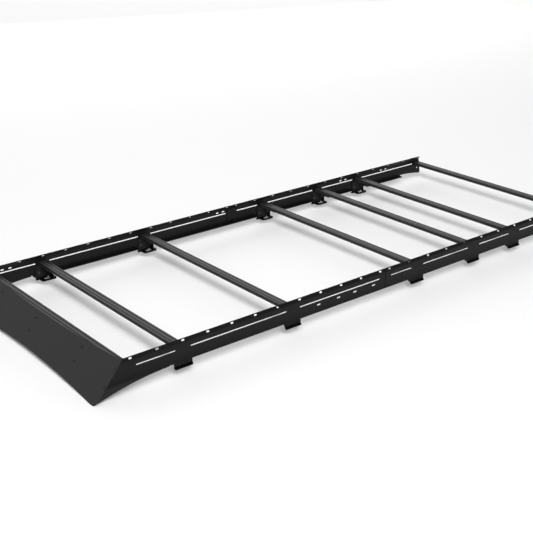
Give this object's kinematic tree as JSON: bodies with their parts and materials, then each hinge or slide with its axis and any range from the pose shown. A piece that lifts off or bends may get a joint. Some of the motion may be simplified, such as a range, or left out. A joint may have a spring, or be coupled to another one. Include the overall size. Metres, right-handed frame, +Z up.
{
  "type": "van roof rack",
  "caption": "Low van roof rack with slotted sheet side rails, slotted extrusion crossbars, bolted roof feet and a sloped wind fairing at the front.",
  "frame": {"origin": "middle of the box's underside, on the floor the rack rests on", "axes": "+X towards the rear of the van, along the side rails; -Y towards the rack's left rail; +Z up"},
  "size_m": [3.7285, 1.446, 0.1967],
  "materials": {
    "rail_black": "black semi-gloss powder coat on aluminium sheet",
    "bracket_black": "black semi-gloss powder coat on folded sheet",
    "foot_black": "black satin powder coat",
    "bar_grey": "dark grey satin finish on aluminium extrusion",
    "fairing_grey": "dark grey satin powder coat on aluminium sheet",
    "pad_rubber": "black rubber",
    "stud_steel": "plain stainless steel"
  },
  "bodies": {
    "root": {"side_rail_front_left": "rail_black", "side_rail_rear_left": "rail_black", "side_rail_front_right": "rail_black", "side_rail_rear_right": "rail_black", "splice_plate_left": "bracket_black", "splice_plate_right": "bracket_black", "crossbar_front": "bar_grey", "crossbar_1": "bar_grey", "crossbar_2": "bar_grey", "crossbar_3": "bar_grey", "crossbar_4": "bar_grey", "crossbar_5": "bar_grey", "crossbar_rear": "bar_grey", "foot_left_1": "foot_black", "foot_left_2": "foot_black", "foot_left_3": "foot_black", "foot_left_4": "foot_black", "foot_left_5": "foot_black", "foot_right_1": "foot_black", "foot_right_2": "foot_black", "foot_right_3": "foot_black", "foot_right_4": "foot_black", "foot_right_5": "foot_black", "foot_pads_left": "pad_rubber", "foot_pads_right": "pad_rubber", "roof_studs_left": "stud_steel", "roof_studs_right": "stud_steel", "bar_bracket_front_left": "bracket_black", "bar_bracket_front_right": "bracket_black", "bar_bracket_rear_left": "bracket_black", "bar_bracket_rear_right": "bracket_black", "fairing_panel": "fairing_grey", "fairing_angle_left": "bracket_black", "fairing_angle_right": "bracket_black", "fairing_stay_left": "bracket_black", "fairing_stay_middle": "bracket_black", "fairing_stay_right": "bracket_black"}
  },
  "joints": []
}
